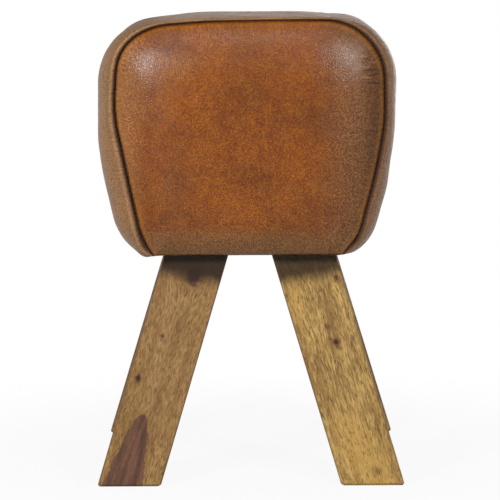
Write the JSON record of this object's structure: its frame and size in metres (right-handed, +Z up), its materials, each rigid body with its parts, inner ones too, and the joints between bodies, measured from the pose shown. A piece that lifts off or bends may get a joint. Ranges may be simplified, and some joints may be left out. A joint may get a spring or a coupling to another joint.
{
  "type": "upholstered buck stool",
  "caption": "Upholstered leather block seat with crowned sewn end panels, standing on splayed flat wooden plank legs.",
  "frame": {"origin": "on the floor, midway between the four feet", "axes": "+Z up along the height, +X across the width of the seat, +Y from the shown end to the far end"},
  "size_m": [0.3114, 0.4, 0.47],
  "materials": {
    "leg_wood": "satin",
    "zinc_steel": "satin",
    "plywood": "matte",
    "foam": "matte",
    "band_leather": "satin",
    "panel_leather": "satin",
    "dust_cloth": "matte"
  },
  "bodies": {
    "root": {"front_left_leg": "leg_wood", "front_right_leg": "leg_wood", "rear_left_leg": "leg_wood", "rear_right_leg": "leg_wood", "leg_bolts": "zinc_steel", "leg_washers": "zinc_steel", "leg_nuts": "zinc_steel", "base_board": "plywood", "front_end_board": "plywood", "rear_end_board": "plywood", "left_side_board": "plywood", "right_side_board": "plywood", "top_board": "plywood", "carcass_staples": "zinc_steel", "seat_foam": "foam", "left_side_foam": "foam", "right_side_foam": "foam", "front_foam": "foam", "rear_foam": "foam", "cover_band": "band_leather", "front_panel": "panel_leather", "rear_panel": "panel_leather", "cover_staples": "zinc_steel", "dust_cover": "dust_cloth", "dust_cover_staples": "zinc_steel"}
  },
  "joints": []
}
